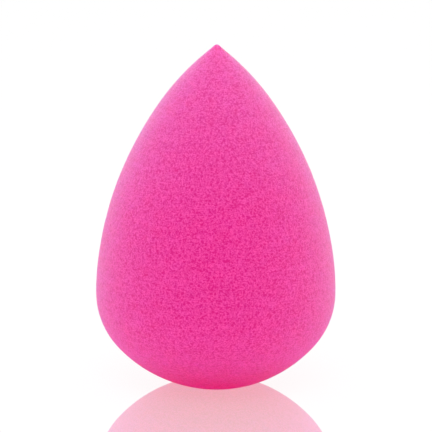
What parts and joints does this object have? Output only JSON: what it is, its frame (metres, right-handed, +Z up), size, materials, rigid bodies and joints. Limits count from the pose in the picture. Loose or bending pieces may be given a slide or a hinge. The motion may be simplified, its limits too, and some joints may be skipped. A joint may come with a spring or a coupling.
{
  "type": "makeup sponge",
  "caption": "Teardrop makeup sponge of soft open-cell foam: a round base for blending over the cheeks and a point for the corners of the face.",
  "frame": {"origin": "centre of the small flat that the sponge stands on", "axes": "+Z up along the axis of the drop, from the flat to the point; X and Y are alike, because the body is round about Z"},
  "size_m": [0.0414, 0.0414, 0.06],
  "materials": {
    "foam": "matte"
  },
  "bodies": {
    "root": {"sponge_body": "foam"}
  },
  "joints": []
}
